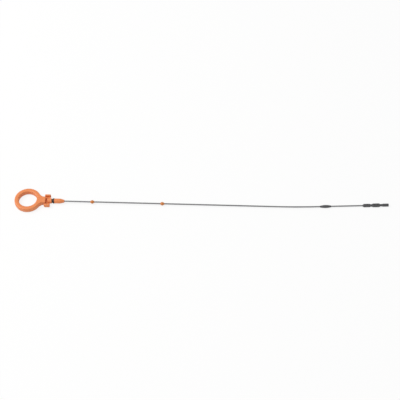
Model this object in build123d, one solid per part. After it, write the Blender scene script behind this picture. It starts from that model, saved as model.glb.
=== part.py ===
from build123d import *
import math
import os

# Engine oil dipstick, lying at rest. Millimetres.
# +X runs along the plug towards the gauge tip and +Z is up.
# The origin is on the plug's axis, at the root of the plug.

# Driving dimensions of the handle moulding
ring_outer_diameter = 37.2
ring_section_width = 6.2
handle_height = 7.6
handle_edge_chamfer = 1.5
largest_chamfer_share = 0.45
neck_corner_chamfer = 1.2

neck_length = 5.6
neck_width = 10.8
neck_blend_radius = 6.0

recess_length = 2.9

barrel_length = 6.5
barrel_diameter = 7.4

lug_span = 18.8
lug_length = 8.2
lug_height = 5.6
lug_thickness = 2.4
lug_offset = 0.25
lug_corner_radius = 1.4
lug_web_root = 0.5
lug_web_lap = 3.9
lug_web_thickness = 2.0
lug_web_drop = 1.2

gland_length = 3.4
gland_core_diameter = 4.0

plug_length = 8.5
plug_diameter = 6.9
nose_length = 5.6
nose_diameter = 3.8

# Driving dimensions of the rubber seal
seal_lip_diameter = 7.5
seal_sleeve_diameter = 5.6
seal_lip_length = 1.2
seal_flare_length = 1.1
seal_end_clearance = 0.05

# Driving dimensions of the rod, which has one gentle set
rod_diameter = 2.0
rod_bend_length = 60.0
rod_bend_angle = 3.5
rod_root_wall = 3.6
rod_end_wall = 6.3

# Driving dimensions of the two moulded beads
bead_diameter = 5.0
bead_length = 5.6
bead_skirt_diameter = 2.7

# Driving dimensions of the spindle-shaped sleeve
sleeve_diameter = 4.2
sleeve_middle_length = 5.0
sleeve_taper_length = 5.2
sleeve_end_diameter = 2.5

# Bare stretches of rod, from piece to piece
plug_to_upper_bead = 36.4
upper_to_lower_bead = 92.3
lower_bead_to_bend = 154.0
bend_to_sleeve = 3.5
sleeve_to_tip = 44.1

# Driving dimensions of the gauge tip
tip_mouth_diameter = 2.7
tip_mouth_length = 2.2
upper_land_length = 7.8
upper_land_diameter = 4.8
upper_waist_length = 4.3
upper_waist_diameter = 3.7
middle_land_length = 9.2
middle_land_diameter = 5.3
lower_waist_length = 4.8
lower_waist_diameter = 3.5
lower_land_length = 8.0
lower_land_diameter = 4.3
waist_flank_length = 0.7
tip_flat_height = 3.9

hatch_margin = 1.0
hatch_pitch = 1.25
hatch_groove_width = 0.4
hatch_groove_depth = 0.22
hatch_slant = 45.0

# Places along the plug's axis, worked out from the lengths
barrel_start = -(gland_length + barrel_length)
neck_end = barrel_start - recess_length
ring_centre = neck_end - neck_length - ring_outer_diameter / 2
plug_end = plug_length + nose_length
seal_length = gland_length - 2 * seal_end_clearance

sleeve_length = sleeve_middle_length + 2 * sleeve_taper_length
tip_length = (tip_mouth_length + upper_land_length + upper_waist_length + middle_land_length
              + lower_waist_length + lower_land_length)
middle_land_start = tip_mouth_length + upper_land_length + upper_waist_length

# Distances along the rod, counted from the root of the plug
upper_bead_centre = plug_end + plug_to_upper_bead + bead_length / 2
lower_bead_centre = upper_bead_centre + bead_length + upper_to_lower_bead
bend_start = lower_bead_centre + bead_length / 2 + lower_bead_to_bend
sleeve_centre = bend_start + rod_bend_length + bend_to_sleeve + sleeve_length / 2
tip_start = sleeve_centre + sleeve_length / 2 + sleeve_to_tip
tip_end = tip_start + tip_length
rod_start = barrel_start + rod_root_wall
rod_end = tip_end - rod_end_wall

# The rod leaves the handle a hair below level, so that the tip's flat lies on the surface the ring lies on.
floor_height = -handle_height / 2
rod_drop = (handle_height - tip_flat_height) / 2
rod_dip_angle = math.degrees(math.asin(rod_drop / tip_end))

parts_folder = "parts"


def turned(points):
    """Solid of revolution about X from the points of its upper half outline, axis to axis."""
    return revolve(make_face(Polyline(*points, close=True)), Axis.X)


def rod_plane():
    """Plane in which the rod lies, dipping from the plug's axis towards the tip."""
    return Plane.XY.rotated((0, rod_dip_angle, 0))


def rod_path():
    """Centre line of the rod: straight, one gentle arc, straight again."""
    bend_radius = rod_bend_length / math.radians(rod_bend_angle)
    first_run = Line((rod_start, 0), (bend_start, 0))
    bend = JernArc(first_run @ 1, first_run % 1, bend_radius, rod_bend_angle)
    last_run_length = rod_end - bend_start - rod_bend_length
    last_run = Line(bend @ 1, bend @ 1 + (bend % 1) * last_run_length)
    return rod_plane() * Wire([first_run, bend, last_run])


def place_on_rod(distance):
    """Plane at a distance along the rod from the plug's root, with X along the rod and Z up."""
    path = rod_path()
    along = distance - rod_start
    point = path.position_at(along, position_mode=PositionMode.LENGTH)
    direction = path.tangent_at(along, position_mode=PositionMode.LENGTH)
    return Plane(origin=point, x_dir=direction, z_dir=rod_plane().z_dir)


def make_rod():
    path = rod_path()
    section = Plane(origin=path @ 0, z_dir=path % 0) * Circle(rod_diameter / 2)
    return sweep(section, path=path)


def make_ring_and_neck():
    """Finger ring and the flat neck that blends out of it, as one slab with broken edges."""
    ring = ring_outer_diameter / 2
    neck_reach = neck_end - ring_centre
    blend_y = neck_width / 2 + neck_blend_radius
    blend_x = math.sqrt((ring + neck_blend_radius) ** 2 - blend_y ** 2)
    ring_share = ring / (ring + neck_blend_radius)
    web = [
        (blend_x * ring_share, blend_y * ring_share),
        (blend_x, neck_width / 2),
        (blend_x, -neck_width / 2),
        (blend_x * ring_share, -blend_y * ring_share),
    ]
    plan = Circle(ring) + make_face(Polyline(*web, close=True))
    plan += Rectangle(neck_reach, neck_width, align=(Align.MIN, Align.CENTER))
    plan -= [Pos(blend_x, side * blend_y) * Circle(neck_blend_radius) for side in (-1, 1)]
    plan -= Circle(ring - ring_section_width)
    slab = extrude(plan, handle_height)
    end_corners = slab.edges().filter_by(Axis.Z).sort_by(Axis.X)[-2:]
    slab = chamfer(end_corners, neck_corner_chamfer)
    rims = slab.faces().filter_by(Axis.Z).edges()
    thinnest_wall = min(ring_section_width, handle_height)
    slab = chamfer(rims, min(handle_edge_chamfer, largest_chamfer_share * thinnest_wall))
    return Pos(ring_centre, 0, floor_height) * slab


def make_lugs():
    """Two side lugs: a web that floors the recess and ties neck to barrel, with an upright plate at each end."""
    web_length = lug_web_root + recess_length + lug_web_lap
    web = Box(web_length, lug_span - lug_thickness, lug_web_thickness,
              align=(Align.MIN, Align.CENTER, Align.CENTER))
    face = RectangleRounded(lug_length, lug_height, lug_corner_radius)
    plate = extrude(Plane.XZ * face, lug_thickness / 2, both=True)
    reach = (lug_span - lug_thickness) / 2
    plates = [Pos(barrel_start + lug_offset, side * reach, 0) * plate for side in (-1, 1)]
    return Pos(neck_end - lug_web_root, 0, -lug_web_drop) * web + plates


def make_spine():
    """Barrel, seal gland, plug and tapered nose, turned about the plug's axis."""
    barrel = barrel_diameter / 2
    plug = plug_diameter / 2
    outline = [
        (barrel_start, 0),
        (barrel_start, barrel),
        (-gland_length, barrel),
        (-gland_length, gland_core_diameter / 2),
        (0, gland_core_diameter / 2),
        (0, plug),
        (plug_length, plug),
        (plug_end, nose_diameter / 2),
        (plug_end, 0),
    ]
    return turned(outline)


def make_handle():
    return make_ring_and_neck() + make_lugs() + make_spine() - make_rod()


def make_lip_seal():
    """Rubber seal that fills the gland: a sleeve that flares into a lip beside the plug."""
    lip = seal_lip_diameter / 2
    right = -seal_end_clearance
    left = right - seal_length
    flare_end = right - seal_lip_length
    outline = [
        (left, gland_core_diameter / 2),
        (left, seal_sleeve_diameter / 2),
        (flare_end - seal_flare_length, seal_sleeve_diameter / 2),
        (flare_end, lip),
        (right, lip),
        (right, gland_core_diameter / 2),
    ]
    return turned(outline)


def make_bead(distance):
    """Ball moulded round the rod, with a short skirt at either side."""
    ball = Sphere(bead_diameter / 2)
    ball += Rot(0, 90, 0) * Cylinder(bead_skirt_diameter / 2, bead_length)
    return place_on_rod(distance) * ball - make_rod()


def make_guide_sleeve():
    """Spindle-shaped sleeve: a short middle with a long taper at either end."""
    middle = sleeve_middle_length / 2
    end = sleeve_length / 2
    outline = [
        (-end, 0),
        (-end, sleeve_end_diameter / 2),
        (-middle, sleeve_diameter / 2),
        (middle, sleeve_diameter / 2),
        (end, sleeve_end_diameter / 2),
        (end, 0),
    ]
    return place_on_rod(sleeve_centre) * turned(outline) - make_rod()


def make_hatch():
    """Crossed grooves for a flat of the middle land, each running right across the flat."""
    slant = math.radians(hatch_slant)
    flat_width = math.sqrt(max(middle_land_diameter ** 2 - tip_flat_height ** 2, 0))
    groove_run = flat_width / math.tan(slant)
    step = hatch_pitch / math.sin(slant)
    count = math.floor((middle_land_length - 2 * hatch_margin - groove_run) / step) + 1
    groove = Box(middle_land_diameter / math.sin(slant), hatch_groove_width, 2 * hatch_groove_depth)
    offsets = [(index - (count - 1) / 2) * step for index in range(count)]
    turns = (-hatch_slant, hatch_slant)
    return Part() + [Pos(offset, 0, 0) * Rot(0, 0, turn) * groove for turn in turns for offset in offsets]


def make_gauge_tip():
    """Gauge moulded on the rod's end: three lands with flats, two waists and a square end."""
    outline = [(0, 0), (0, tip_mouth_diameter / 2), (tip_mouth_length, upper_land_diameter / 2)]
    station = tip_mouth_length + upper_land_length
    waists = [
        (upper_land_diameter, upper_waist_length, upper_waist_diameter,
         middle_land_diameter, middle_land_length),
        (middle_land_diameter, lower_waist_length, lower_waist_diameter,
         lower_land_diameter, lower_land_length),
    ]
    for before, length, waist, after, land in waists:
        outline += [
            (station, before / 2),
            (station + waist_flank_length, waist / 2),
            (station + length - waist_flank_length, waist / 2),
            (station + length, after / 2),
        ]
        station += length + land
    outline += [(station, lower_land_diameter / 2), (station, 0)]
    tip = turned(outline)
    tip &= Pos(tip_length / 2, 0, 0) * Box(tip_length, middle_land_diameter, tip_flat_height)
    hatch_centre = middle_land_start + middle_land_length / 2
    for side in (-1, 1):
        tip -= Pos(hatch_centre, 0, side * tip_flat_height / 2) * make_hatch()
    return place_on_rod(tip_start) * tip - make_rod()


def main():
    nodes = {
        "handle": make_handle(),
        "lip_seal": make_lip_seal(),
        "rod": make_rod(),
        "upper_bead": make_bead(upper_bead_centre),
        "lower_bead": make_bead(lower_bead_centre),
        "guide_sleeve": make_guide_sleeve(),
        "gauge_tip": make_gauge_tip(),
    }
    os.makedirs(parts_folder, exist_ok=True)
    for name, shape in nodes.items():
        export_step(shape, os.path.join(parts_folder, name + ".step"))


main()
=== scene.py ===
import math

import bmesh
import bpy
from mathutils import Matrix, Vector


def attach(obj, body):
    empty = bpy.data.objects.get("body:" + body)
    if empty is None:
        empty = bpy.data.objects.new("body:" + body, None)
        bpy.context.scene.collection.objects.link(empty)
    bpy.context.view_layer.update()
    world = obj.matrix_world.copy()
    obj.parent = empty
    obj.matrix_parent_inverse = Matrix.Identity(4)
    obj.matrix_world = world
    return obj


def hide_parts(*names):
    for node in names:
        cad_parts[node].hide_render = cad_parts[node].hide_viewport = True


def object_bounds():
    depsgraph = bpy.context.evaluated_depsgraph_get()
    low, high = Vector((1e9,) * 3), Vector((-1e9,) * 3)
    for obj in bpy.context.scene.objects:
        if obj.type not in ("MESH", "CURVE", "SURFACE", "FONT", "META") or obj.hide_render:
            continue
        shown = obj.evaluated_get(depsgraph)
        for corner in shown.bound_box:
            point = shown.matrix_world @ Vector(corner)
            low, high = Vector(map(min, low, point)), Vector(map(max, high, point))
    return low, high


bl_info = {
    "name": "Oil Dipstick Dressing",
    "version": (1, 0, 0),
    "blender": (4, 5, 0),
    "location": "View3D > Sidebar > Dipstick",
    "description": "Models and finishes an engine oil dipstick over its packed solids",
    "category": "Mesh",
}

MM = 0.001
BODY = "root"
FULL_TURN = 2 * math.pi
MERGE_DISTANCE = 0.002 * MM
SMOOTH_ANGLE = math.radians(35)
FLAT_SMOOTH_ANGLE = math.radians(22)
# Turns from which an edge is rounded
ROUNDED_TURN = math.radians(28)
SHALLOW_TURN = math.radians(18)
# Cosine from which a direction counts as running along an axis
ALONG_AXIS = 0.9
# Steps round a turned piece
WIDE_STEPS = 64
SLIM_STEPS = 48
# Crossed grooves on the gauge tip, to the tip's axis
HATCH_SLANT = math.radians(45)
# Sockets of a Mix node for colours, whose names are shared between data types
MIX_A = 6
MIX_B = 7
MIX_COLOUR = 2
# Samples of the nodes that feel for edges and corners
WEAR_SAMPLES = 6

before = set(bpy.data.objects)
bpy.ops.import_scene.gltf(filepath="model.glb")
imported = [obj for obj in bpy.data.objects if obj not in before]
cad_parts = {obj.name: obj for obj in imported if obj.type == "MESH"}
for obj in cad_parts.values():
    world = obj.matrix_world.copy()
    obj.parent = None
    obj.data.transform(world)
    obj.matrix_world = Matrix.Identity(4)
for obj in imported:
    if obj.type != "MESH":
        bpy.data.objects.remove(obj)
cad_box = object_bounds()


def linear(hex_colour):
    """Turn an sRGB hex colour into the linear RGBA that shaders work in."""
    channels = [int(hex_colour[place:place + 2], 16) / 255 for place in (1, 3, 5)]
    return tuple(c / 12.92 if c <= 0.04045 else ((c + 0.055) / 1.055) ** 2.4 for c in channels) + (1.0,)


def length(label, about, millimetres):
    """Property for a length, written in millimetres and kept in metres."""
    return bpy.props.FloatProperty(
        name=label, description=about, default=millimetres * MM, unit="LENGTH")


def angle(label, about, degrees):
    """Property for an angle, written in degrees and kept in radians."""
    return bpy.props.FloatProperty(
        name=label, description=about, default=math.radians(degrees), unit="ROTATION")


def colour(label, about, hex_colour):
    """Property for a colour, written as sRGB hex and kept linear."""
    return bpy.props.FloatVectorProperty(
        name=label, description=about, default=linear(hex_colour), size=4, subtype="COLOR", min=0.0, max=1.0)


# Sizes and colours


class DIPSTICK_PG_handle(bpy.types.PropertyGroup):
    ring_outer: length("Ring diameter", "Across the outside of the finger ring", 37.2)
    ring_width: length("Ring width", "Across the ring's section, seen from above", 6.2)
    height: length("Height", "Through the ring and the neck", 7.6)
    edge_round: length("Edge round", "How far the ring's edges are broken before they are smoothed", 0.9)
    wall_draft: length("Wall draft", "How much the ring's walls lean in from the mould's parting line", 0.12)
    ring_centre: length("Ring centre", "Along X, from the plug's root", -37.0)
    neck_root: length("Neck root", "Where the flare out of the ring ends", -17.5)
    neck_waist: length("Neck waist", "Where the neck is down to its width", -15.2)
    neck_end: length("Neck end", "The neck's square shoulder", -12.1)
    neck_width: length("Neck width", "Across the neck", 10.8)
    neck_root_width: length("Neck root width", "Across the neck where it flares", 11.7)
    barrel_start: length("Barrel start", "Left end of the barrel that carries the lugs", -9.2)
    barrel_diameter: length("Barrel diameter", "Across the barrel", 7.4)
    gland_length: length("Gland length", "Groove that the seal sits in", 3.4)
    gland_diameter: length("Gland diameter", "Core of the seal's groove", 4.0)
    plug_diameter: length("Plug diameter", "Across the plug", 6.9)
    plug_length: length("Plug length", "Straight stretch of the plug", 8.5)
    nose_length: length("Nose length", "Taper down to the rod", 5.6)
    nose_diameter: length("Nose diameter", "Small end of the taper", 3.8)
    turned_round: length("Turned edge round", "Round on the edges of barrel, plug and nose", 0.35)
    shoulder_ease: length("Shoulder ease", "How far the plug's shoulder is eased to either side", 1.6)
    lug_span: length("Lug span", "Over both lugs", 18.8)
    lug_length: length("Lug length", "A lug's plate along X", 8.2)
    lug_height: length("Lug height", "A lug's plate from top to bottom", 5.6)
    lug_thickness: length("Lug thickness", "Through a lug's plate", 2.4)
    lug_centre: length("Lug centre", "Middle of the lugs, along X", -9.65)
    lug_corner: length("Lug corner", "Round of the plate's corners", 1.4)
    lug_edge: length("Lug edge", "Round of the plate's edges", 0.45)
    web_start: length("Web start", "Left end of the lugs' web, just inside the neck", -13.3)
    web_end: length("Web end", "Right end of the lugs' web, beside the barrel", -6.0)
    web_thickness: length("Web thickness", "Through the web", 2.0)
    web_drop: length("Web drop", "How far the web lies below the plug's axis", 1.2)


class DIPSTICK_PG_seal(bpy.types.PropertyGroup):
    lip_diameter: length("Lip diameter", "Across the flared lip", 7.5)
    sleeve_diameter: length("Sleeve diameter", "Across the seal's sleeve", 5.6)
    lip_length: length("Lip length", "Straight edge of the lip", 1.2)
    flare_length: length("Flare length", "Cone from sleeve to lip", 1.1)
    end_clearance: length("End clearance", "Gap to the gland's walls", 0.05)
    edge_round: length("Edge round", "Round of the moulded edges", 0.22)


class DIPSTICK_PG_rod(bpy.types.PropertyGroup):
    diameter: length("Rod diameter", "Drawn diameter of the rod", 2.0)
    start: length("Rod start", "Hidden end in the handle", -6.3)
    end: length("Rod end", "Hidden end in the tip, along the rod", 461.0)
    bend_start: length("Bend start", "Where the gentle set starts, along the rod", 308.0)
    bend_length: length("Bend length", "Length of the set, along the rod", 60.0)
    bend_angle: angle("Bend angle", "How far the rod turns in plan", 3.5)
    drop: length("Drop", "How much lower the tip's axis lies than the plug's", 1.85)
    drop_length: length("Drop length", "Rod length over which it drops", 467.3)


class DIPSTICK_PG_bead(bpy.types.PropertyGroup):
    diameter: length("Bead diameter", "Across the ball", 5.0)
    full_length: length("Bead length", "Over both skirts", 5.6)
    skirt_diameter: length("Skirt diameter", "Across a skirt", 2.7)
    skirt_round: length("Skirt round", "Round of the skirts' edges", 0.15)
    upper_place: length("Upper bead", "Centre of the upper bead, along the rod", 53.3)
    lower_place: length("Lower bead", "Centre of the lower bead, along the rod", 151.2)


class DIPSTICK_PG_sleeve(bpy.types.PropertyGroup):
    diameter: length("Sleeve diameter", "Across the thick middle", 4.2)
    middle_length: length("Middle length", "Straight middle", 5.0)
    taper_length: length("Taper length", "Each of the two tapers", 5.2)
    end_diameter: length("End diameter", "Across the thin ends", 2.5)
    shoulder_ease: length("Shoulder ease", "How far the middle's shoulders are eased to either side", 1.8)
    end_round: length("End round", "Round of the thin ends' edges", 0.08)
    place: length("Sleeve place", "Centre of the sleeve, along the rod", 379.2)


class DIPSTICK_PG_tip(bpy.types.PropertyGroup):
    place: length("Tip place", "Mouth of the tip, along the rod", 431.0)
    mouth_diameter: length("Mouth diameter", "Small end round the rod", 2.7)
    mouth_length: length("Mouth length", "Taper up to the first land", 2.2)
    upper_length: length("Upper land length", "First land", 7.8)
    upper_diameter: length("Upper land diameter", "Across the first land", 4.8)
    upper_waist_length: length("Upper waist length", "Groove that marks the upper level", 4.3)
    upper_waist_diameter: length("Upper waist diameter", "Core of that groove", 3.7)
    middle_length: length("Middle land length", "Hatched land between the two levels", 9.2)
    middle_diameter: length("Middle land diameter", "Across the hatched land", 5.3)
    lower_waist_length: length("Lower waist length", "Groove that marks the lower level", 4.8)
    lower_waist_diameter: length("Lower waist diameter", "Core of that groove", 3.5)
    lower_length: length("Lower land length", "Last land", 8.0)
    lower_diameter: length("Lower land diameter", "Across the last land", 4.3)
    flank: length("Flank", "Slope at each end of a groove", 0.7)
    flat_height: length("Flat height", "From flat to flat", 3.9)
    bore_depth: length("Bore depth", "How far the rod reaches in", 30.0)
    edge_round: length("Edge round", "Round of the lands' edges", 0.15)
    hatch_margin: length("Hatch margin", "Plain strip at each end of the hatched land", 1.0)
    hatch_pitch: length("Hatch pitch", "From groove to groove", 1.25)
    hatch_width: length("Hatch groove width", "Across a groove", 0.4)
    hatch_depth: length("Hatch groove depth", "Below the flat", 0.22)


class DIPSTICK_PG_finish(bpy.types.PropertyGroup):
    orange: colour("Orange", "Moulded handle", "#E98D54")
    orange_shade: colour("Orange shade", "Slightly deeper patches of the same moulding", "#E08249")
    orange_rubbed: colour("Orange rubbed", "Edges that fingers have rubbed paler", "#F3AE83")
    # The beads' colour is the handle's orange nylon drawn darker.
    bead: colour("Bead", "Moulded beads, a deeper batch of the same nylon", "#CF7E3A")
    bead_shade: colour("Bead shade", "Slightly deeper patches of the beads", "#C27332")
    rubber: colour("Rubber", "Seal", "#232120")
    rubber_bloom: colour("Rubber bloom", "Dusty bloom on the seal", "#312E2C")
    steel: colour("Steel", "Drawn rod", "#A6A6A6")
    steel_line: colour("Steel lines", "Darker drawing lines along the rod", "#8C8C8F")
    dark_plastic: colour("Dark plastic", "Sleeve and gauge tip", "#434344")
    dark_fleck: colour("Dark plastic fleck", "Paler glass fibre in the same moulding", "#525254")
    dark_rubbed: colour("Dark plastic rubbed", "Edges that the guide tube has rubbed", "#68686A")


class DIPSTICK_PG_stage(bpy.types.PropertyGroup):
    floor_colour: colour("Floor", "Paper that the dipstick lies on", "#F4F4F3")
    floor_size: length("Floor size", "Side of the paper", 12000.0)
    floor_glow: bpy.props.FloatProperty(
        name="Floor glow", description="Share of plain white that the camera sees", default=0.85)
    aim: bpy.props.FloatVectorProperty(
        name="Aim", description="Point that the camera looks at", default=(0.2037, 0.0076, 0.0),
        subtype="TRANSLATION", unit="LENGTH")
    distance: length("Distance", "From the aim to the camera", 1400.0)
    elevation: angle("Elevation", "Camera height above the floor", 53.2)
    turn: angle("Turn", "Camera turn about the upright", 1.68)
    lens: bpy.props.FloatProperty(name="Lens", description="Focal length", default=90.0, unit="CAMERA")
    sensor: bpy.props.FloatProperty(
        name="Sensor", description="Width of the camera's sensor", default=36.0, unit="CAMERA")
    key_place: bpy.props.FloatVectorProperty(
        name="Key place", description="Where the soft lamp hangs", default=(-1.4, 0.1, 2.0),
        subtype="TRANSLATION", unit="LENGTH")
    key_size: length("Key size", "Side of the soft lamp's square", 1600.0)
    key_power: bpy.props.FloatProperty(
        name="Key power", description="Soft lamp at the upper left", default=44.0, unit="POWER")
    fill: bpy.props.FloatProperty(name="Fill", description="Light from all round", default=0.55)


# Helpers for modelling


def alone(piece):
    """Make one object the only selected and the active one."""
    bpy.ops.object.select_all(action="DESELECT")
    piece.select_set(True)
    bpy.context.view_layer.objects.active = piece


def named(name):
    """Name the primitive that was just added."""
    piece = bpy.context.object
    piece.name = name
    piece.data.name = name
    return piece


def pick(piece, kind, test):
    """In edit mode, select the verts, edges or faces that pass the test."""
    bpy.ops.mesh.select_mode(type={"verts": "VERT", "edges": "EDGE", "faces": "FACE"}[kind])
    bpy.ops.mesh.select_all(action="DESELECT")
    mesh = bmesh.from_edit_mesh(piece.data)
    for item in getattr(mesh, kind):
        item.select_set(bool(test(item)))
    mesh.select_flush_mode()
    bmesh.update_edit_mesh(piece.data)


def block(name, size):
    """Add a box of the given size about the origin."""
    bpy.ops.object.select_all(action="DESELECT")
    bpy.ops.mesh.primitive_cube_add(size=1.0, scale=size)
    piece = named(name)
    bpy.ops.object.transform_apply(scale=True)
    return piece


def runs_along_y(edge):
    """Tell whether an edge runs along Y."""
    return abs((edge.verts[0].co - edge.verts[1].co).normalized().y) > ALONG_AXIS


def drawn(name, points):
    """Draw an outline by extruding one vertex from point to point, and stay in edit mode."""
    bpy.ops.object.select_all(action="DESELECT")
    bpy.ops.mesh.primitive_plane_add(size=MM)
    piece = named(name)
    bpy.ops.object.mode_set(mode="EDIT")
    bpy.ops.mesh.select_mode(type="VERT")
    bpy.ops.mesh.select_all(action="SELECT")
    bpy.ops.mesh.merge(type="CENTER")
    bpy.ops.transform.translate(value=points[0])
    for before, after in zip(points, points[1:]):
        step = Vector(after) - Vector(before)
        bpy.ops.mesh.extrude_vertices_move(TRANSFORM_OT_translate={"value": step})
    return piece


def spun(name, points, centre, axis, steps):
    """Draw an outline and spin it once round an axis into a closed shell."""
    piece = drawn(name, points)
    bpy.ops.mesh.select_all(action="SELECT")
    bpy.ops.mesh.spin(steps=steps, angle=FULL_TURN, center=centre, axis=axis)
    bpy.ops.mesh.select_all(action="SELECT")
    bpy.ops.mesh.remove_doubles(threshold=MERGE_DISTANCE)
    bpy.ops.mesh.normals_make_consistent(inside=False)
    return piece


def turned(name, outline, steps):
    """Spin an outline of (distance, radius) pairs round X, as on a lathe."""
    points = [(distance, 0.0, radius) for distance, radius in outline]
    return spun(name, points, (0.0, 0.0, 0.0), (1.0, 0.0, 0.0), steps)


def eased(before, corner, after, reach, steps=6):
    """Points of a smooth turn that takes the place of an outline's corner."""
    corner = Vector(corner)
    start = corner + (Vector(before) - corner).normalized() * reach
    end = corner + (Vector(after) - corner).normalized() * reach
    shares = [step / steps for step in range(steps + 1)]
    return [start.lerp(corner, share).lerp(corner.lerp(end, share), share) for share in shares]


def finish_modifier(piece, kind, **settings):
    """Add a modifier and apply it."""
    alone(piece)
    modifier = piece.modifiers.new(kind.title(), kind)
    for name, value in settings.items():
        setattr(modifier, name, value)
    bpy.ops.object.modifier_apply(modifier=modifier.name)


def round_edges(piece, width, segments, turn=ROUNDED_TURN):
    """Round every edge that turns by more than the given angle."""
    finish_modifier(piece, "BEVEL", width=width, segments=segments, limit_method="ANGLE",
                    angle_limit=turn, harden_normals=False)


def combine(piece, others, operation):
    """Join or cut with other objects, which are used up."""
    for other in others:
        finish_modifier(piece, "BOOLEAN", operation=operation, solver="EXACT", use_self=True, object=other)
        bpy.data.objects.remove(other)
    # Where two faces met exactly, a boolean can leave points on top of each other.
    bpy.ops.object.mode_set(mode="EDIT")
    bpy.ops.mesh.select_all(action="SELECT")
    bpy.ops.mesh.remove_doubles(threshold=MERGE_DISTANCE)
    bpy.ops.mesh.dissolve_degenerate(threshold=MERGE_DISTANCE)
    bpy.ops.object.mode_set(mode="OBJECT")


def copied(piece, name):
    """Copy a piece with a mesh of its own."""
    twin = piece.copy()
    twin.data = piece.data.copy()
    twin.name = name
    twin.data.name = name
    bpy.context.collection.objects.link(twin)
    return twin


def seat(piece, place):
    """Move a piece that was modelled at the origin to its place, and keep the place in its mesh."""
    alone(piece)
    piece.matrix_world = place
    bpy.ops.object.transform_apply(location=True, rotation=True, scale=True)


def dress(piece, node, material, smooth_angle=SMOOTH_ANGLE):
    """Give a piece its finish and let it stand for its CAD node."""
    if not piece.data.polygons:
        raise RuntimeError(piece.name + " has no faces")
    alone(piece)
    bpy.ops.object.shade_smooth_by_angle(angle=smooth_angle)
    finish_modifier(piece, "WEIGHTED_NORMAL", keep_sharp=True)
    # Faces with many corners are cut here, as an exporter's own cut can leave slivers.
    finish_modifier(piece, "TRIANGULATE", ngon_method="BEAUTY", min_vertices=5, keep_custom_normals=True)
    piece.data.materials.clear()
    piece.data.materials.append(material)
    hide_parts(node)
    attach(piece, BODY)


def place_on_rod(rod, distance):
    """Place on the rod's centre line, with X along the rod."""
    radius = rod.bend_length / rod.bend_angle
    turn = min(max((distance - rod.bend_start) / radius, 0.0), rod.bend_angle)
    straight = min(distance, rod.bend_start)
    beyond = max(distance - rod.bend_start - rod.bend_length, 0.0)
    x = straight + radius * math.sin(turn) + beyond * math.cos(turn)
    y = radius * (1.0 - math.cos(turn)) + beyond * math.sin(turn)
    dip = Matrix.Rotation(math.asin(rod.drop / rod.drop_length), 4, "Y")
    return dip @ Matrix.Translation((x, y, 0.0)) @ Matrix.Rotation(turn, 4, "Z")


# Materials


def new_material(name):
    """Start a material with only its output."""
    material = bpy.data.materials.new(name)
    material.use_nodes = True
    material.node_tree.nodes.clear()
    return material


def add_node(tree, kind, inputs=None, **settings):
    """Add a node; each input is a value, or a (node, output) pair to link from."""
    node = tree.nodes.new(kind)
    for name, value in settings.items():
        setattr(node, name, value)
    for socket, value in (inputs or {}).items():
        if isinstance(value, tuple) and isinstance(value[0], bpy.types.Node):
            tree.links.new(value[0].outputs[value[1]], node.inputs[socket])
        else:
            node.inputs[socket].default_value = value
    return node


def rubbed_edges(tree, coords, reach):
    """Mask of rubbed outer edges, where a rounded normal leaves the true one, broken into patches."""
    true = add_node(tree, "ShaderNodeNewGeometry")
    rounded = add_node(tree, "ShaderNodeBevel", {"Radius": reach}, samples=WEAR_SAMPLES)
    turn = add_node(tree, "ShaderNodeVectorMath", {0: (true, "Normal"), 1: (rounded, 0)},
                    operation="DOT_PRODUCT")
    edge = add_node(tree, "ShaderNodeMapRange",
                    {"Value": (turn, "Value"), "From Min": 0.995, "From Max": 0.93})
    # Inner corners are shut in and stay as they were moulded.
    open_air = add_node(tree, "ShaderNodeAmbientOcclusion", {"Distance": 2 * MM},
                        samples=WEAR_SAMPLES, only_local=True)
    outer = add_node(tree, "ShaderNodeMapRange",
                     {"Value": (open_air, "AO"), "From Min": 0.7, "From Max": 0.95})
    # Rubbing comes and goes over about 2 mm.
    patches = add_node(tree, "ShaderNodeTexNoise", {"Vector": (coords, "Object"), "Scale": 1 / (2 * MM)})
    uneven = add_node(tree, "ShaderNodeMapRange",
                      {"Value": (patches, 0), "From Min": 0.35, "From Max": 0.6})
    mask = add_node(tree, "ShaderNodeMath", {0: (edge, 0), 1: (outer, 0)}, operation="MULTIPLY")
    return add_node(tree, "ShaderNodeMath", {0: (mask, 0), 1: (uneven, 0)}, operation="MULTIPLY")


def satin_nylon(name, fresh, deep, rubbed):
    """Nylon, injection moulded in a finely eroded mould: satin, faintly mottled, with a fine grain."""
    material = new_material(name)
    tree = material.node_tree
    coords = add_node(tree, "ShaderNodeTexCoord")
    # Pigment drifts over about 9 mm.
    mottle = add_node(tree, "ShaderNodeTexNoise",
                      {"Vector": (coords, "Object"), "Scale": 1 / (9 * MM), "Detail": 3.0})
    drift = add_node(tree, "ShaderNodeMix", {0: (mottle, 0), MIX_A: fresh, MIX_B: deep}, data_type="RGBA")
    wear = rubbed_edges(tree, coords, 0.35 * MM)
    tint = add_node(tree, "ShaderNodeMix", {0: (wear, 0), MIX_A: (drift, MIX_COLOUR), MIX_B: rubbed},
                    data_type="RGBA")
    # Eroded grain is about 0.1 mm, drawn at 0.35 mm so that it shows.
    grain = add_node(tree, "ShaderNodeTexNoise",
                     {"Vector": (coords, "Object"), "Scale": 1 / (0.35 * MM), "Detail": 2.0})
    bump = add_node(tree, "ShaderNodeBump", {"Height": (grain, 0), "Strength": 0.3, "Distance": 0.04 * MM})
    gloss = add_node(tree, "ShaderNodeMapRange", {"Value": (mottle, 0), "To Min": 0.36, "To Max": 0.52})
    skin = add_node(tree, "ShaderNodeBsdfPrincipled",
                    {"Base Color": (tint, MIX_COLOUR), "Roughness": (gloss, 0), "Normal": (bump, 0),
                     "IOR": 1.53})
    add_node(tree, "ShaderNodeOutputMaterial", {"Surface": (skin, 0)})
    return material


def moulded_orange_nylon(finish):
    """The handle's bright orange nylon."""
    return satin_nylon("moulded_orange_nylon", finish.orange, finish.orange_shade, finish.orange_rubbed)


def moulded_bead_nylon(finish):
    """The beads' deeper orange nylon."""
    return satin_nylon("moulded_bead_nylon", finish.bead, finish.bead_shade, finish.orange)


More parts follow.
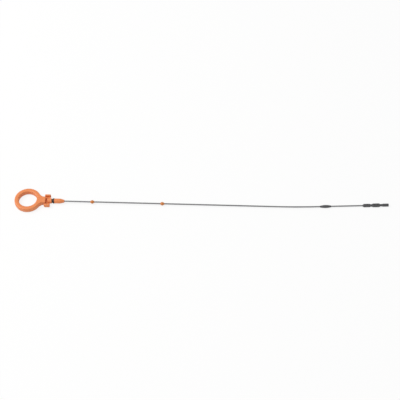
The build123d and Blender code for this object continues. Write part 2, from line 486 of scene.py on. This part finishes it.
def moulded_black_nitrile(finish):
    """Nitrile rubber, compression moulded: near black and dull, with a faint dusty bloom."""
    material = new_material("moulded_black_nitrile")
    tree = material.node_tree
    coords = add_node(tree, "ShaderNodeTexCoord")
    # Bloom lies in patches of about 1.5 mm.
    bloom = add_node(tree, "ShaderNodeTexNoise",
                     {"Vector": (coords, "Object"), "Scale": 1 / (1.5 * MM), "Detail": 4.0})
    tint = add_node(tree, "ShaderNodeMix",
                    {0: (bloom, 0), MIX_A: finish.rubber, MIX_B: finish.rubber_bloom}, data_type="RGBA")
    gloss = add_node(tree, "ShaderNodeMapRange", {"Value": (bloom, 0), "To Min": 0.5, "To Max": 0.72})
    bump = add_node(tree, "ShaderNodeBump", {"Height": (bloom, 0), "Strength": 0.2, "Distance": 0.03 * MM})
    skin = add_node(tree, "ShaderNodeBsdfPrincipled",
                    {"Base Color": (tint, MIX_COLOUR), "Roughness": (gloss, 0), "Normal": (bump, 0),
                     "IOR": 1.52})
    add_node(tree, "ShaderNodeOutputMaterial", {"Surface": (skin, 0)})
    return material


def drawn_spring_steel(finish):
    """Spring steel, drawn through a die: dull grey, with fine lines along its length."""
    material = new_material("drawn_spring_steel")
    tree = material.node_tree
    coords = add_node(tree, "ShaderNodeTexCoord")
    # Die lines are hundredths of a millimetre apart, drawn at 0.25 mm and 60 mm long so that they show.
    across = 1 / (0.25 * MM)
    stretch = add_node(tree, "ShaderNodeMapping",
                       {"Vector": (coords, "Object"), "Scale": (1 / (60 * MM), across, across)})
    lines = add_node(tree, "ShaderNodeTexNoise", {"Vector": (stretch, 0), "Scale": 1.0, "Detail": 3.0})
    # Dull and bright stretches follow one another over about 30 mm.
    stretches = add_node(tree, "ShaderNodeTexNoise", {"Vector": (coords, "Object"), "Scale": 1 / (30 * MM)})
    marks = add_node(tree, "ShaderNodeMath", {0: (lines, 0), 1: (stretches, 0)}, operation="ADD")
    share = add_node(tree, "ShaderNodeMapRange", {"Value": (marks, 0), "From Min": 0.7, "From Max": 1.3})
    tint = add_node(tree, "ShaderNodeMix",
                    {0: (share, 0), MIX_A: finish.steel, MIX_B: finish.steel_line}, data_type="RGBA")
    gloss = add_node(tree, "ShaderNodeMapRange", {"Value": (share, 0), "To Min": 0.26, "To Max": 0.48})
    bump = add_node(tree, "ShaderNodeBump", {"Height": (lines, 0), "Strength": 0.3, "Distance": 0.02 * MM})
    skin = add_node(tree, "ShaderNodeBsdfPrincipled",
                    {"Base Color": (tint, MIX_COLOUR), "Roughness": (gloss, 0), "Normal": (bump, 0),
                     "Metallic": 1.0})
    add_node(tree, "ShaderNodeOutputMaterial", {"Surface": (skin, 0)})
    return material


def moulded_dark_nylon(finish):
    """Glass-filled nylon, injection moulded: dark grey and matt, with short pale fibres under the skin."""
    material = new_material("moulded_dark_nylon")
    tree = material.node_tree
    coords = add_node(tree, "ShaderNodeTexCoord")
    # Fibres lie along the flow, about 0.25 mm wide as drawn and 1.5 mm long.
    across = 1 / (0.25 * MM)
    flow = add_node(tree, "ShaderNodeMapping",
                    {"Vector": (coords, "Object"), "Scale": (1 / (1.5 * MM), across, across)})
    fibre = add_node(tree, "ShaderNodeTexNoise", {"Vector": (flow, 0), "Scale": 1.0, "Detail": 3.0})
    body = add_node(tree, "ShaderNodeMix",
                    {0: (fibre, 0), MIX_A: finish.dark_plastic, MIX_B: finish.dark_fleck}, data_type="RGBA")
    wear = rubbed_edges(tree, coords, 0.2 * MM)
    tint = add_node(tree, "ShaderNodeMix",
                    {0: (wear, 0), MIX_A: (body, MIX_COLOUR), MIX_B: finish.dark_rubbed}, data_type="RGBA")
    gloss = add_node(tree, "ShaderNodeMapRange", {"Value": (fibre, 0), "To Min": 0.42, "To Max": 0.58})
    bump = add_node(tree, "ShaderNodeBump", {"Height": (fibre, 0), "Strength": 0.25, "Distance": 0.03 * MM})
    skin = add_node(tree, "ShaderNodeBsdfPrincipled",
                    {"Base Color": (tint, MIX_COLOUR), "Roughness": (gloss, 0), "Normal": (bump, 0),
                     "IOR": 1.53})
    add_node(tree, "ShaderNodeOutputMaterial", {"Surface": (skin, 0)})
    return material


def finish_of(maker):
    """Material by its maker's name, made the first time that it is asked for."""
    return bpy.data.materials.get(maker.__name__) or maker(bpy.context.scene.dipstick_finish)


# Forms of the handle


def break_corners(piece, station, top, share):
    """Draw in the top and bottom rows of the neck's first step, and pick its end again."""
    near = MERGE_DISTANCE
    pick(piece, "verts", lambda vert: abs(vert.co.x - station) < near and abs(abs(vert.co.z) - top) < near)
    bpy.ops.transform.resize(value=(1.0, share, 1.0), center_override=(station, 0.0, 0.0))
    pick(piece, "faces", lambda face: all(abs(vert.co.x - station) < near for vert in face.verts))


def model_ring_and_neck(sizes):
    """Spin the ring's section, draw the neck out of its outer wall and smooth the whole by subdivision."""
    steps = 40
    neck_columns = 6
    # Faces within this share of the edge round from the outside carry the neck.
    wall_share = 0.85
    # A row this share of the edge round before the neck's end keeps the end square.
    end_row_share = 0.7
    step_angle = FULL_TURN / steps
    # Subdivision draws a ring of straight steps in to (4 + 2 cos) / 6 of its cage, so the cage starts larger.
    gain = 6 / (4 + 2 * math.cos(step_angle))
    outer = sizes.ring_outer / 2
    inner = outer - sizes.ring_width
    top = sizes.height / 2
    edge = sizes.edge_round
    middle = (outer + inner) / 2
    wall_outer = outer - sizes.wall_draft
    wall_inner = inner + sizes.wall_draft
    section = [
        (middle, top), (outer - edge, top), (wall_outer, top - edge), (outer, 0.0),
        (wall_outer, edge - top), (outer - edge, -top), (middle, -top), (inner + edge, -top),
        (wall_inner, edge - top), (inner, 0.0), (wall_inner, top - edge), (inner + edge, top), (middle, top),
    ]
    centre = Vector((sizes.ring_centre, 0.0, 0.0))
    points = [(sizes.ring_centre + radius * gain, 0.0, height) for radius, height in section]
    piece = spun("handle_moulding", points, centre, (0.0, 0.0, 1.0), steps)

    half_span = step_angle * neck_columns / 2
    wall_limit = (outer - edge * wall_share) * gain

    def faces_the_neck(face):
        spoke = face.calc_center_median() - centre
        return math.hypot(spoke.x, spoke.y) > wall_limit and abs(math.atan2(spoke.y, spoke.x)) < half_span

    pick(piece, "faces", faces_the_neck)
    root_width = 2 * outer * math.sin(half_span) * gain
    start = sizes.ring_centre + outer
    stations = [
        (sizes.neck_root, sizes.neck_root_width), (sizes.neck_waist, sizes.neck_width),
        (sizes.neck_end - edge * end_row_share, sizes.neck_width), (sizes.neck_end, sizes.neck_width),
    ]
    for station, width in stations:
        bpy.ops.mesh.extrude_region_move(TRANSFORM_OT_translate={"value": (station - start, 0.0, 0.0)})
        bpy.ops.transform.resize(value=(0.0, width / root_width, 1.0), center_override=(station, 0.0, 0.0))
        if station == sizes.neck_root:
            break_corners(piece, station, top, 1.0 - 2 * edge / width)
        start = station
        root_width = width
    bpy.ops.object.mode_set(mode="OBJECT")
    finish_modifier(piece, "SUBSURF", levels=2, render_levels=2)
    return piece


def model_spine(sizes, rod):
    """Turn the barrel, gland, plug and tapered nose, with the blind bore that the rod fills."""
    barrel = sizes.barrel_diameter / 2
    plug = sizes.plug_diameter / 2
    core = sizes.gland_diameter / 2
    nose = sizes.nose_diameter / 2
    nose_end = sizes.plug_length + sizes.nose_length
    bore = rod.diameter / 2
    outline = [
        (sizes.barrel_start, 0.0), (sizes.barrel_start, barrel), (-sizes.gland_length, barrel),
        (-sizes.gland_length, core),
        (0.0, core), (0.0, plug),
        *eased((0.0, plug), (sizes.plug_length, plug), (nose_end, nose), sizes.shoulder_ease),
        (nose_end, nose), (nose_end, bore), (rod.start, bore), (rod.start, 0.0),
    ]
    piece = turned("handle_spine", outline, WIDE_STEPS)
    bpy.ops.object.mode_set(mode="OBJECT")
    round_edges(piece, sizes.turned_round, segments=3, turn=SHALLOW_TURN)
    return piece


def model_lug(sizes):
    """Shape one upright plate from a cube: rounded corners, then rounded edges."""
    piece = block("handle_lug", (sizes.lug_length, sizes.lug_thickness, sizes.lug_height))
    bpy.ops.object.mode_set(mode="EDIT")
    pick(piece, "edges", runs_along_y)
    bpy.ops.mesh.bevel(offset=sizes.lug_corner, segments=6, affect="EDGES")
    pick(piece, "edges", lambda edge: any(abs(face.normal.y) > ALONG_AXIS for face in edge.link_faces))
    bpy.ops.mesh.bevel(offset=sizes.lug_edge, segments=3, affect="EDGES")
    bpy.ops.object.mode_set(mode="OBJECT")
    return piece


def model_web(sizes):
    """Shape the web that runs from lug to lug, floors the recess and ties the neck to the barrel."""
    span = sizes.lug_span - sizes.lug_thickness
    web_length = sizes.web_end - sizes.web_start
    piece = block("handle_web", (web_length, span, sizes.web_thickness))
    bpy.ops.object.mode_set(mode="EDIT")
    pick(piece, "edges", runs_along_y)
    bpy.ops.mesh.bevel(offset=sizes.lug_edge, segments=3, affect="EDGES")
    bpy.ops.object.mode_set(mode="OBJECT")
    seat(piece, Matrix.Translation(((sizes.web_start + sizes.web_end) / 2, 0.0, -sizes.web_drop)))
    return piece


# Operators


class DIPSTICK_OT_handle(bpy.types.Operator):
    """Model the handle: finger ring, neck, lugs, barrel, plug and nose in one moulding"""
    bl_idname = "dipstick.handle"
    bl_label = "Handle"

    def execute(self, context):
        sizes = context.scene.dipstick_handle
        piece = model_ring_and_neck(sizes)
        spine = model_spine(sizes, context.scene.dipstick_rod)
        web = model_web(sizes)
        near_lug = model_lug(sizes)
        far_lug = copied(near_lug, "handle_far_lug")
        reach = (sizes.lug_span - sizes.lug_thickness) / 2
        seat(near_lug, Matrix.Translation((sizes.lug_centre, -reach, 0.0)))
        seat(far_lug, Matrix.Translation((sizes.lug_centre, reach, 0.0)))
        combine(piece, [spine, web, near_lug, far_lug], "UNION")
        dress(piece, "handle", finish_of(moulded_orange_nylon))
        return {"FINISHED"}


class DIPSTICK_OT_seal(bpy.types.Operator):
    """Model the rubber seal: a sleeve that flares into a lip beside the plug"""
    bl_idname = "dipstick.seal"
    bl_label = "Seal"

    def execute(self, context):
        sizes = context.scene.dipstick_seal
        handle = context.scene.dipstick_handle
        core = handle.gland_diameter / 2
        lip = sizes.lip_diameter / 2
        sleeve = sizes.sleeve_diameter / 2
        right = -sizes.end_clearance
        left = sizes.end_clearance - handle.gland_length
        flare_end = right - sizes.lip_length
        outline = [
            (left, core), (left, sleeve), (flare_end - sizes.flare_length, sleeve), (flare_end, lip),
            (right, lip), (right, core), (left, core),
        ]
        piece = turned("lip_seal_moulding", outline, WIDE_STEPS)
        bpy.ops.object.mode_set(mode="OBJECT")
        round_edges(piece, sizes.edge_round, segments=3)
        dress(piece, "lip_seal", finish_of(moulded_black_nitrile))
        return {"FINISHED"}


class DIPSTICK_OT_rod(bpy.types.Operator):
    """Model the drawn rod: straight, one gentle set, straight again"""
    bl_idname = "dipstick.rod"
    bl_label = "Rod"

    def execute(self, context):
        sizes = context.scene.dipstick_rod
        bpy.ops.object.select_all(action="DESELECT")
        bpy.ops.mesh.primitive_circle_add(vertices=32, radius=sizes.diameter / 2, fill_type="NGON",
                                          location=(sizes.start, 0.0, 0.0), rotation=(0.0, math.pi / 2, 0.0))
        piece = named("drawn_rod")
        bpy.ops.object.transform_apply(location=True, rotation=True)
        bpy.ops.object.mode_set(mode="EDIT")
        bpy.ops.mesh.select_all(action="SELECT")
        run_steps = 24
        first_move = ((sizes.bend_start - sizes.start) / run_steps, 0.0, 0.0)
        for step in range(run_steps):
            bpy.ops.mesh.extrude_region_move(TRANSFORM_OT_translate={"value": first_move})
        radius = sizes.bend_length / sizes.bend_angle
        # Spin counts a turn to the left as negative.
        bpy.ops.mesh.spin(steps=12, angle=-sizes.bend_angle, center=(sizes.bend_start, radius, 0.0),
                          axis=(0.0, 0.0, 1.0))
        last_run = sizes.end - sizes.bend_start - sizes.bend_length
        heading = Vector((math.cos(sizes.bend_angle), math.sin(sizes.bend_angle), 0.0))
        last_steps = 8
        last_move = heading * last_run / last_steps
        for step in range(last_steps):
            bpy.ops.mesh.extrude_region_move(TRANSFORM_OT_translate={"value": last_move})
        bpy.ops.mesh.select_all(action="SELECT")
        bpy.ops.mesh.remove_doubles(threshold=MERGE_DISTANCE)
        bpy.ops.mesh.normals_make_consistent(inside=False)
        bpy.ops.object.mode_set(mode="OBJECT")
        seat(piece, place_on_rod(sizes, 0.0))
        dress(piece, "rod", finish_of(drawn_spring_steel))
        return {"FINISHED"}


class DIPSTICK_OT_beads(bpy.types.Operator):
    """Model one bead, a ball with a short skirt at either side, and copy it"""
    bl_idname = "dipstick.beads"
    bl_label = "Beads"

    def execute(self, context):
        sizes = context.scene.dipstick_bead
        rod = context.scene.dipstick_rod
        ball = sizes.diameter / 2
        skirt = sizes.skirt_diameter / 2
        end = sizes.full_length / 2
        bore = rod.diameter / 2
        join = math.asin(skirt / ball)
        arc_steps = 20
        angles = [math.pi - join - (math.pi - 2 * join) * step / arc_steps for step in range(arc_steps + 1)]
        arc = [(ball * math.cos(turn), ball * math.sin(turn)) for turn in angles]
        outline = [(-end, bore), (-end, skirt), *arc, (end, skirt), (end, bore), (-end, bore)]
        upper = turned("upper_bead_moulding", outline, SLIM_STEPS)
        bpy.ops.object.mode_set(mode="OBJECT")
        round_edges(upper, sizes.skirt_round, segments=3)
        lower = copied(upper, "lower_bead_moulding")
        seat(upper, place_on_rod(rod, sizes.upper_place))
        seat(lower, place_on_rod(rod, sizes.lower_place))
        for piece, node in ((upper, "upper_bead"), (lower, "lower_bead")):
            dress(piece, node, finish_of(moulded_bead_nylon))
        return {"FINISHED"}


class DIPSTICK_OT_sleeve(bpy.types.Operator):
    """Model the spindle-shaped guide sleeve"""
    bl_idname = "dipstick.sleeve"
    bl_label = "Sleeve"

    def execute(self, context):
        sizes = context.scene.dipstick_sleeve
        rod = context.scene.dipstick_rod
        middle = sizes.middle_length / 2
        end = middle + sizes.taper_length
        thick = sizes.diameter / 2
        thin = sizes.end_diameter / 2
        bore = rod.diameter / 2
        outline = [
            (-end, bore), (-end, thin),
            *eased((-end, thin), (-middle, thick), (middle, thick), sizes.shoulder_ease),
            *eased((-middle, thick), (middle, thick), (end, thin), sizes.shoulder_ease),
            (end, thin), (end, bore), (-end, bore),
        ]
        piece = turned("guide_sleeve_moulding", outline, SLIM_STEPS)
        bpy.ops.object.mode_set(mode="OBJECT")
        round_edges(piece, sizes.end_round, segments=2)
        seat(piece, place_on_rod(rod, sizes.place))
        dress(piece, "guide_sleeve", finish_of(moulded_dark_nylon))
        return {"FINISHED"}


class DIPSTICK_OT_tip(bpy.types.Operator):
    """Model the gauge tip: three lands with flats, two level grooves and a hatched middle"""
    bl_idname = "dipstick.tip"
    bl_label = "Gauge tip"

    def execute(self, context):
        sizes = context.scene.dipstick_tip
        rod = context.scene.dipstick_rod
        bore = rod.diameter / 2
        outline = [
            (sizes.bore_depth, 0.0), (sizes.bore_depth, bore), (0.0, bore), (0.0, sizes.mouth_diameter / 2),
            (sizes.mouth_length, sizes.upper_diameter / 2),
        ]
        station = sizes.mouth_length + sizes.upper_length
        grooves = [
            (sizes.upper_diameter, sizes.upper_waist_length, sizes.upper_waist_diameter,
             sizes.middle_diameter, sizes.middle_length),
            (sizes.middle_diameter, sizes.lower_waist_length, sizes.lower_waist_diameter,
             sizes.lower_diameter, sizes.lower_length),
        ]
        for before, waist_length, waist, after, land in grooves:
            outline += [
                (station, before / 2), (station + sizes.flank, waist / 2),
                (station + waist_length - sizes.flank, waist / 2), (station + waist_length, after / 2),
            ]
            station += waist_length + land
        outline += [(station, sizes.lower_diameter / 2), (station, 0.0)]
        piece = turned("gauge_tip_moulding", outline, WIDE_STEPS)
        bpy.ops.object.mode_set(mode="OBJECT")
        round_edges(piece, sizes.edge_round, segments=4)
        bpy.ops.object.mode_set(mode="EDIT")
        for side in (-1.0, 1.0):
            bpy.ops.mesh.select_all(action="SELECT")
            bpy.ops.mesh.bisect(plane_co=(0.0, 0.0, side * sizes.flat_height / 2), plane_no=(0.0, 0.0, side),
                                use_fill=True, clear_outer=True, threshold=MERGE_DISTANCE)
        bpy.ops.object.mode_set(mode="OBJECT")
        combine(piece, [self.hatch(sizes)], "DIFFERENCE")
        seat(piece, place_on_rod(rod, sizes.place))
        # The flats meet the mouth's taper at a shallow angle, and that edge stays crisp.
        dress(piece, "gauge_tip", finish_of(moulded_dark_nylon), FLAT_SMOOTH_ANGLE)
        return {"FINISHED"}

    def hatch(self, sizes):
        """Lay crossed bars over both flats of the middle land, as a cutter for its grooves."""
        step = sizes.hatch_pitch / math.sin(HATCH_SLANT)
        flat_width = math.sqrt(sizes.middle_diameter ** 2 - sizes.flat_height ** 2)
        zone = sizes.middle_length - 2 * sizes.hatch_margin
        count = math.floor((zone - flat_width / math.tan(HATCH_SLANT)) / step) + 1
        land_start = sizes.mouth_length + sizes.upper_length + sizes.upper_waist_length
        first = land_start + (sizes.middle_length - (count - 1) * step) / 2
        bar_length = sizes.middle_diameter / math.sin(HATCH_SLANT)
        bar = block("hatch_bar", (bar_length, sizes.hatch_width, 2 * sizes.hatch_depth))
        bars = []
        for index in range(count):
            for turn in (-HATCH_SLANT, HATCH_SLANT):
                for side in (-1.0, 1.0):
                    twin = copied(bar, "hatch_cutter")
                    place = Matrix.Translation((first + index * step, 0.0, side * sizes.flat_height / 2))
                    seat(twin, place @ Matrix.Rotation(turn, 4, "Z"))
                    bars.append(twin)
        bpy.data.objects.remove(bar)
        alone(bars[0])
        for twin in bars[1:]:
            twin.select_set(True)
        bpy.ops.object.join()
        return bars[0]


class DIPSTICK_OT_stage(bpy.types.Operator):
    """Set the pale floor, the soft light and the camera"""
    bl_idname = "dipstick.stage"
    bl_label = "Stage"

    def execute(self, context):
        settings = context.scene.dipstick_stage
        self.lay_floor(settings)
        self.hang_lights(settings)
        self.set_camera(settings)
        context.scene.view_settings.view_transform = "Standard"
        return {"FINISHED"}

    def lay_floor(self, settings):
        bpy.ops.object.select_all(action="DESELECT")
        bpy.ops.mesh.primitive_plane_add(
            size=settings.floor_size, location=(settings.aim[0], settings.aim[1], cad_box[0].z))
        floor = named("paper_floor")
        material = new_material("white_paper")
        tree = material.node_tree
        rays = add_node(tree, "ShaderNodeLightPath")
        direct = add_node(tree, "ShaderNodeMath", {0: (rays, "Is Camera Ray"), 1: (rays, "Is Glossy Ray")},
                          operation="MAXIMUM")
        seen = add_node(tree, "ShaderNodeMath", {0: (direct, 0), 1: (rays, "Is Transmission Ray")},
                        operation="MAXIMUM")
        # Most of what the camera sees is plain white, and the rest keeps the shadow.
        share = add_node(tree, "ShaderNodeMath", {0: (seen, 0), 1: settings.floor_glow}, operation="MULTIPLY")
        paper = add_node(tree, "ShaderNodeBsdfDiffuse", {"Color": settings.floor_colour})
        white = add_node(tree, "ShaderNodeEmission", {"Strength": 1.0})
        mixed = add_node(tree, "ShaderNodeMixShader", {0: (share, 0), 1: (paper, 0), 2: (white, 0)})
        add_node(tree, "ShaderNodeOutputMaterial", {"Surface": (mixed, 0)})
        floor.data.materials.append(material)

    def hang_lights(self, settings):
        bpy.ops.object.light_add(type="AREA", location=settings.key_place)
        key = bpy.context.object
        key.name = "left_softbox"
        key.data.energy = settings.key_power
        key.data.shape = "SQUARE"
        key.data.size = settings.key_size
        key.rotation_euler = (Vector(settings.aim) - key.location).to_track_quat("-Z", "Y").to_euler()
        world = bpy.data.worlds.new("pale_studio")
        world.use_nodes = True
        tree = world.node_tree
        tree.nodes.clear()
        rays = add_node(tree, "ShaderNodeLightPath")
        level = add_node(tree, "ShaderNodeMapRange",
                         {"Value": (rays, "Is Camera Ray"), "To Min": settings.fill, "To Max": 1.0})
        sky = add_node(tree, "ShaderNodeBackground", {"Color": (1.0, 1.0, 1.0, 1.0), "Strength": (level, 0)})
        add_node(tree, "ShaderNodeOutputWorld", {"Surface": (sky, 0)})
        bpy.context.scene.world = world

    def set_camera(self, settings):
        aim = Vector(settings.aim)
        flat = math.cos(settings.elevation)
        back = Vector((
            math.sin(settings.turn) * flat, -math.cos(settings.turn) * flat, math.sin(settings.elevation)))
        bpy.ops.object.camera_add(location=aim + back * settings.distance)
        camera = bpy.context.object
        camera.name = "photo_camera"
        camera.rotation_euler = (-back).to_track_quat("-Z", "Y").to_euler()
        camera.data.lens = settings.lens
        camera.data.sensor_width = settings.sensor
        bpy.context.scene.camera = camera


class DIPSTICK_PT_sidebar(bpy.types.Panel):
    """Steps that dress the dipstick, in order"""
    bl_idname = "DIPSTICK_PT_sidebar"
    bl_label = "Oil dipstick"
    bl_space_type = "VIEW_3D"
    bl_region_type = "UI"
    bl_category = "Dipstick"

    def draw(self, context):
        for step in STEPS:
            self.layout.operator(step.bl_idname)


STEPS = (
    DIPSTICK_OT_handle,
    DIPSTICK_OT_seal,
    DIPSTICK_OT_rod,
    DIPSTICK_OT_beads,
    DIPSTICK_OT_sleeve,
    DIPSTICK_OT_tip,
    DIPSTICK_OT_stage,
)
GROUPS = {
    "dipstick_handle": DIPSTICK_PG_handle,
    "dipstick_seal": DIPSTICK_PG_seal,
    "dipstick_rod": DIPSTICK_PG_rod,
    "dipstick_bead": DIPSTICK_PG_bead,
    "dipstick_sleeve": DIPSTICK_PG_sleeve,
    "dipstick_tip": DIPSTICK_PG_tip,
    "dipstick_finish": DIPSTICK_PG_finish,
    "dipstick_stage": DIPSTICK_PG_stage,
}


def register():
    for group in (*GROUPS.values(), *STEPS, DIPSTICK_PT_sidebar):
        bpy.utils.register_class(group)
    for name, group in GROUPS.items():
        setattr(bpy.types.Scene, name, bpy.props.PointerProperty(type=group))


def unregister():
    for name in GROUPS:
        delattr(bpy.types.Scene, name)
    for group in (DIPSTICK_PT_sidebar, *reversed(STEPS), *GROUPS.values()):
        bpy.utils.unregister_class(group)


def main():
    register()
    bpy.ops.dipstick.handle()
    bpy.ops.dipstick.seal()
    bpy.ops.dipstick.rod()
    bpy.ops.dipstick.beads()
    bpy.ops.dipstick.sleeve()
    bpy.ops.dipstick.tip()
    bpy.ops.dipstick.stage()


if __name__ == "__main__":
    main()
